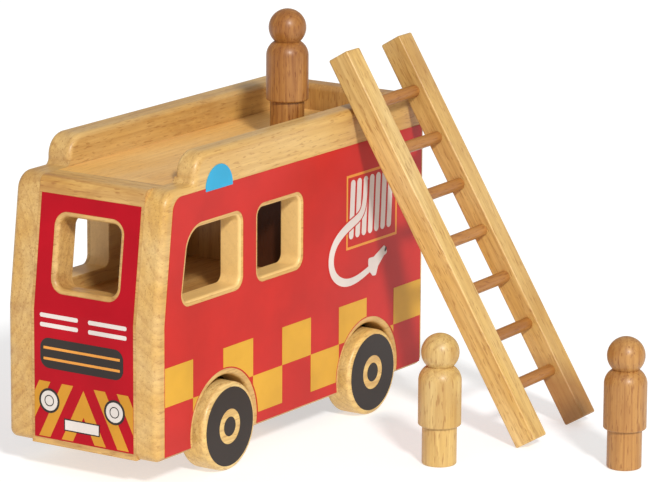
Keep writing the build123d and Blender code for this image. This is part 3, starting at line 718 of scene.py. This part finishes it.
class FIREENGINE_OT_boards(bpy.types.Operator):
    """Finish the truck's boards in lacquered wood."""

    bl_idname = "fire_engine.boards"
    bl_label = "Boards"

    def execute(self, context):
        pairs = {
            "left_side_panel": "left_side",
            "right_side_panel": "right_side",
            "front_panel": "front",
            "rear_panel": "rear",
            "roof_deck": "deck",
            "cab_floor": "inside",
            "base_board": "inside",
            "cab_partition": "wall",
            "assembly_dowels": "dowel",
        }
        for node, name in pairs.items():
            coat(node, name)
        return {"FINISHED"}


class FIREENGINE_OT_sheets(bpy.types.Operator):
    """Finish the printed red sheets."""

    bl_idname = "fire_engine.sheets"
    bl_label = "Printed sheets"

    def execute(self, context):
        coat("left_side_print", "side_red")
        coat("right_side_print", "side_red")
        coat("front_print", "front_red")
        return {"FINISHED"}


class FIREENGINE_OT_checker(bpy.types.Operator):
    """Print the checker band on both sides."""

    bl_idname = "fire_engine.checker"
    bl_label = "Checker band"

    def execute(self, context):
        sizes = context.scene.fire_engine_print
        values = {
            "Cell Length": sizes.cell_length,
            "Cell Height": sizes.cell_height,
            "Top": sizes.band_top,
            "Front": FRONT_X - sizes.band_front,
            "Face": FILM_Y,
            "Thickness": INK,
            "Arch Radius": sizes.arch_rim,
            "Axle Height": AXLE_Z,
            "Front Axle": AXLE_X["front"],
            "Rear Axle": AXLE_X["rear"],
            "Sheet Front": FILM_BOX[1].x,
            "Sheet Rear": FILM_BOX[0].x,
            "Squares": 5,
            "Ink": finish("yellow"),
        }
        mesh = grow(checker_tree(), values)
        placed("left_checker_band", mesh, "truck")
        placed("right_checker_band", mirrored(mesh, "right_checker_band"), "truck")
        return {"FINISHED"}


class FIREENGINE_OT_beacon(bpy.types.Operator):
    """Print the blue beacon on both sides, across the sheet's top edge."""

    bl_idname = "fire_engine.beacon"
    bl_label = "Beacon"

    def execute(self, context):
        sizes = context.scene.fire_engine_print
        x = FRONT_X - sizes.beacon_setback
        r = sizes.beacon_radius
        foot = sizes.beacon_foot
        top = foot + r * 1.06
        outline = rounded([(x - r, foot, 0), (x + r, foot, 0), (x + r, top, r), (x - r, top, r)])
        for side, label in ((1, "left"), (-1, "right")):
            bm = bmesh.new()
            plate(bm, outline, on_side(side, BOARD_FACE), high=FILM + INK)
            finished(f"{label}_beacon", bm, finish("blue"), "truck")
        return {"FINISHED"}


class FIREENGINE_OT_hose(bpy.types.Operator):
    """Print the hose rack, the folded hose and its nozzle on both sides."""

    bl_idname = "fire_engine.hose"
    bl_label = "Hose rack"

    def execute(self, context):
        sizes = context.scene.fire_engine_print
        front = FRONT_X - sizes.rack_setback
        rear = front - sizes.rack_length
        foot = sizes.rack_foot
        top = foot + sizes.rack_height
        width = sizes.hose_width
        line = sizes.rack_line
        run_foot = foot + 0.0067
        run_top = top - 0.0037
        first_x = front - 0.0069
        values = {
            "Width": width,
            "Pitch": sizes.hose_pitch,
            "Half Length": (run_top - run_foot - width) / 2,
            "Front": first_x,
            "Middle Height": (run_top + run_foot) / 2,
            "Face": FILM_Y,
            "Thickness": INK,
            "Slant": -0.0010,
            "Runs": 7,
            "Ink": finish("white"),
        }
        runs = grow(hose_runs_tree(), values)
        placed("left_hose_runs", runs, "truck")
        placed("right_hose_runs", mirrored(runs, "right_hose_runs"), "truck")
        third = first_x - 2 * sizes.hose_pitch
        loop = smooth_line(
            [
                (third - 0.0006, run_top - width / 2),
                (third - 0.0005, top - 0.0130),
                (third + 0.0004, foot + 0.0270),
                (third + 0.0050, foot + 0.0205),
                (front - 0.0080, foot + 0.0178),
                (front + 0.0030, foot + 0.0140),
                (front + 0.0145, foot + 0.0075),
                (front + 0.0195, foot - 0.0035),
                (front + 0.0160, foot - 0.0145),
                (front + 0.0050, foot - 0.0215),
                (front - 0.0080, foot - 0.0230),
                (front - 0.0200, foot - 0.0205),
                (front - 0.0290, foot - 0.0175),
            ]
        )
        gap = ribbon(loop, width + 0.0012, 0.0016)
        band = ribbon(loop, width - 0.0008, 0.0016)
        nozzle = rounded(
            [
                (front - 0.0268, foot - 0.0183, 0.0010),
                (front - 0.0268, foot - 0.0103, 0.0016),
                (front - 0.0335, foot - 0.0104, 0.0010),
                (front - 0.0463, foot - 0.0046, 0.0016),
                (front - 0.0502, foot - 0.0105, 0.0014),
                (front - 0.0460, foot - 0.0116, 0.0010),
                (front - 0.0385, foot - 0.0178, 0.0012),
                (front - 0.0360, foot - 0.0236, 0.0016),
                (front - 0.0322, foot - 0.0232, 0.0016),
            ],
            4,
        )
        turned = Matrix.Rotation(math.radians(28), 2)
        mouth = [turned @ Vector((p.x * 0.6, p.y)) for p in circle((0, 0), 0.0018, 20)]
        mouth = [Vector((front - 0.0477, foot - 0.0078)) + p for p in mouth]
        outer = rectangle((rear, foot), (front, top))
        inner = rectangle((rear + line, foot + line), (front - line, top - line))
        for side, label in ((1, "left"), (-1, "right")):
            on = on_side(side)
            pieces = (
                ("hose_rack_line", outer, inner, "orange", 0.0, INK * 0.8),
                ("hose_gap", gap, None, "side_red", INK * 0.2, INK * 1.3),
                ("hose", band, None, "white", INK * 0.4, INK * 1.7),
                ("nozzle", nozzle, None, "white", INK * 0.1, INK * 2.1),
                ("nozzle_mouth", mouth, None, "black", INK, INK * 2.5),
            )
            for name, outline, hole, tone, low, high in pieces:
                bm = bmesh.new()
                plate(bm, outline, on, hole, low, high)
                finished(f"{label}_{name}", bm, finish(tone), "truck")
        return {"FINISHED"}


class FIREENGINE_OT_front(bpy.types.Operator):
    """Print the front: stripes, grille, headlamps, blank plate and two plain white bars."""

    bl_idname = "fire_engine.front"
    bl_label = "Front print"

    def execute(self, context):
        sizes = context.scene.fire_engine_print
        slope = 0.506
        drop = (sizes.stripe_top - sizes.stripe_foot) * 0.5
        values = {
            "Width": sizes.stripe_width,
            "Pitch": sizes.stripe_pitch,
            "Top": sizes.stripe_top,
            "Foot": sizes.stripe_foot,
            "Slope": slope,
            "First": -sizes.stripe_width * 0.62,
            "Face": FRONT_FILM_BOX[1].x,
            "Thickness": INK,
            "Sheet Half": FRONT_FILM_BOX[1].y,
            "Stripes": 3,
            "Ink": finish("front_yellow"),
        }
        placed("front_stripes", grow(stripes_tree(), values), "truck")
        off = sizes.front_shift
        half = sizes.grille_width / 2
        tall = sizes.grille_height / 2
        z = sizes.grille_middle
        bm = bmesh.new()
        plate(bm, rectangle((off - half, z - tall), (off + half, z + tall), tall * 0.68), on_front)
        finished("grille", bm, finish("black"), "truck")
        bm = bmesh.new()
        for offset in (-0.0037, 0.0034):
            ends = (off - half * 0.92, off + half * 0.92)
            line = rectangle((ends[0], z + offset - 0.00085), (ends[1], z + offset + 0.00085))
            plate(bm, line, on_front, low=INK * 0.5, high=INK * 1.6)
        finished("grille_lines", bm, finish("orange"), "truck")
        rims = bmesh.new()
        lenses = bmesh.new()
        bulbs = bmesh.new()
        for side in (-1, 1):
            centre = (off + side * sizes.lamp_spread, sizes.lamp_height)
            radius = sizes.lamp_radius
            plate(rims, circle(centre, radius), on_front, low=0.0, high=INK * 1.7)
            plate(lenses, circle(centre, radius * 0.81), on_front, low=INK, high=INK * 2.2)
            bulb_hole = circle(centre, radius * 0.38)
            plate(bulbs, circle(centre, radius * 0.46), on_front, bulb_hole, INK * 2, INK * 2.7)
        finished("headlamp_rims", rims, finish("black"), "truck")
        finished("headlamp_lenses", lenses, finish("white"), "truck")
        finished("headlamp_rings", bulbs, finish("black"), "truck")
        wide = sizes.plate_width / 2
        low = sizes.plate_foot
        high = low + sizes.plate_height
        edge = 0.0008
        bm = bmesh.new()
        plate(bm, rectangle((off - wide, low), (off + wide, high)), on_front, low=0.0, high=INK * 1.7)
        finished("plate_border", bm, finish("black"), "truck")
        bm = bmesh.new()
        face = rectangle((off + edge - wide, low + edge), (off + wide - edge, high - edge))
        plate(bm, face, on_front, low=INK, high=INK * 2.2)
        finished("plate_face", bm, finish("white"), "truck")
        bm = bmesh.new()
        for side in (-1, 1):
            ends = sorted((side * 0.004, side * 0.034))
            for z_low in (0.0966, 0.1028):
                plate(bm, rectangle((ends[0], z_low), (ends[1], z_low + 0.0028), 0.0012), on_front)
        finished("front_bars", bm, finish("white"), "truck")
        return {"FINISHED"}


class FIREENGINE_OT_wheels(bpy.types.Operator):
    """Finish the wheels and axles, and print each wheel's black tyre and middle."""

    bl_idname = "fire_engine.wheels"
    bl_label = "Wheels"

    def execute(self, context):
        sizes = context.scene.fire_engine_print
        for end in ("front", "rear"):
            coat(f"{end}_axle", "dowel")
            centre = (AXLE_X[end], AXLE_Z)
            for side, label in ((1, "left"), (-1, "right")):
                coat(f"{end}_{label}_wheel", "wheels")
                bm = bmesh.new()
                tyre = circle(centre, sizes.tyre_radius, 96)
                plate(bm, tyre, on_wheel(side), circle(centre, sizes.ring_radius, 96))
                plate(bm, circle(centre, sizes.hub_radius, 48), on_wheel(side))
                finished(f"{end}_{label}_tyre_print", bm, finish("black"), f"{end}_wheelset")
        return {"FINISHED"}


class FIREENGINE_OT_ladder(bpy.types.Operator):
    """Finish the ladder's stiles and rungs."""

    bl_idname = "fire_engine.ladder"
    bl_label = "Ladder"

    def execute(self, context):
        coat("ladder_front_stile", "front_stile")
        coat("ladder_rear_stile", "rear_stile")
        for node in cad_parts:
            if node.startswith("ladder_rung"):
                coat(node, "rungs")
        return {"FINISHED"}


class FIREENGINE_OT_figures(bpy.types.Operator):
    """Finish the turned peg figures, each from its own wood."""

    bl_idname = "fire_engine.figures"
    bl_label = "Peg figures"

    def execute(self, context):
        coat("figure_floor_light", "light_figure")
        coat("figure_floor_mid", "mid_figure")
        coat("figure_roof_dark", "dark_figure")
        return {"FINISHED"}


class FIREENGINE_OT_stage(bpy.types.Operator):
    """Set the pale floor, the soft studio light and the camera."""

    bl_idname = "fire_engine.stage"
    bl_label = "Studio"

    def execute(self, context):
        stage = context.scene.fire_engine_stage
        add_floor(stage)
        add_lights(stage)
        add_camera()
        return {"FINISHED"}


def add_floor(stage):
    """A plain pale floor, which isn't part of the toy."""
    half = stage.floor_size / 2
    mesh = bpy.data.meshes.new("floor")
    corners = [(-half, -half, 0), (half, -half, 0), (half, half, 0), (-half, half, 0)]
    mesh.from_pydata(corners, [], [(0, 1, 2, 3)])
    floor = bpy.data.objects.new("floor", mesh)
    bpy.context.scene.collection.objects.link(floor)
    material, net, surface = blank_material("pale_floor", Roughness=0.75, Emission_Strength=stage.floor_glow)
    surface.inputs["Emission Color"].default_value = (1.0, 1.0, 1.0, 1.0)
    place = net.add("ShaderNodeTexCoord").outputs["Object"]
    mottle = net.add("ShaderNodeTexNoise", {"Vector": place, "Scale": 3.0, "Detail": 2.0}).outputs["Fac"]
    tone = net.mix(mottle, (0.55, 0.55, 0.55), (0.58, 0.58, 0.575))
    net.tree.links.new(tone, surface.inputs["Base Color"])
    mesh.materials.append(material)


def add_lights(stage):
    """A key light from high on the camera's right, and even light from all round."""
    towards = Vector((0.64, 0.76, 0.69)).normalized()
    lamp = bpy.data.lights.new("key", "SUN")
    lamp.energy = stage.key_power
    lamp.angle = stage.key_angle
    holder = bpy.data.objects.new("key", lamp)
    holder.location = towards * 3.0
    holder.rotation_euler = towards.to_track_quat("Z", "Y").to_euler()
    bpy.context.scene.collection.objects.link(holder)
    world = bpy.data.worlds.new("studio")
    world.use_nodes = True
    back = world.node_tree.nodes["Background"]
    back.inputs["Color"].default_value = (1.0, 1.0, 1.0, 1.0)
    back.inputs["Strength"].default_value = stage.sky
    bpy.context.scene.world = world
    bpy.context.scene.view_settings.view_transform = "Standard"


def add_camera():
    """The camera: front left of the truck, a little above, far off with a long lens."""
    azimuth = math.radians(123.585)
    height = math.radians(12.966)
    roll = math.radians(0.3565)
    level = math.cos(height)
    back = Vector((math.sin(azimuth) * level, -math.cos(azimuth) * level, math.sin(height)))
    right = Vector((math.cos(azimuth), math.sin(azimuth), 0.0))
    up = back.cross(right)
    tilted_right = right * math.cos(roll) + up * math.sin(roll)
    tilted_up = up * math.cos(roll) - right * math.sin(roll)
    aim = tilted_up * 0.0962 - tilted_right * 0.0143 - Vector((0.15045, 0.0, 0.0))
    camera = bpy.data.cameras.new("camera")
    camera.lens = 238.75
    camera.sensor_width = 36.0
    camera.clip_end = 100.0
    holder = bpy.data.objects.new("camera", camera)
    axes = Matrix((tilted_right, tilted_up, back)).transposed()
    holder.matrix_world = Matrix.Translation(aim + back * 3.0169) @ axes.to_4x4()
    bpy.context.scene.collection.objects.link(holder)
    bpy.context.scene.camera = holder


OPERATORS = (
    FIREENGINE_OT_boards,
    FIREENGINE_OT_sheets,
    FIREENGINE_OT_checker,
    FIREENGINE_OT_beacon,
    FIREENGINE_OT_hose,
    FIREENGINE_OT_front,
    FIREENGINE_OT_wheels,
    FIREENGINE_OT_ladder,
    FIREENGINE_OT_figures,
    FIREENGINE_OT_stage,
)


class FIREENGINE_PT_finish(bpy.types.Panel):
    """Lists the toy's finishing steps in the 3D view's sidebar."""

    bl_label = "Toy fire engine"
    bl_idname = "FIREENGINE_PT_finish"
    bl_space_type = "VIEW_3D"
    bl_region_type = "UI"
    bl_category = "Fire engine"

    def draw(self, context):
        for operator in OPERATORS:
            self.layout.operator(operator.bl_idname)


GROUPS = {
    "fire_engine_print": FireEnginePrint,
    "fire_engine_colours": FireEngineColours,
    "fire_engine_stage": FireEngineStage,
}


def register():
    """Registers the property groups, the operators and the panel."""
    for name, group in GROUPS.items():
        bpy.utils.register_class(group)
        setattr(bpy.types.Scene, name, bpy.props.PointerProperty(type=group))
    for operator in OPERATORS:
        bpy.utils.register_class(operator)
    bpy.utils.register_class(FIREENGINE_PT_finish)


def unregister():
    """Removes what register added."""
    bpy.utils.unregister_class(FIREENGINE_PT_finish)
    for operator in reversed(OPERATORS):
        bpy.utils.unregister_class(operator)
    for name, group in GROUPS.items():
        delattr(bpy.types.Scene, name)
        bpy.utils.unregister_class(group)


def main():
    """Finishes the whole toy."""
    register()
    for operator in OPERATORS:
        group, step = operator.bl_idname.split(".")
        getattr(getattr(bpy.ops, group), step)()


if __name__ == "__main__":
    main()
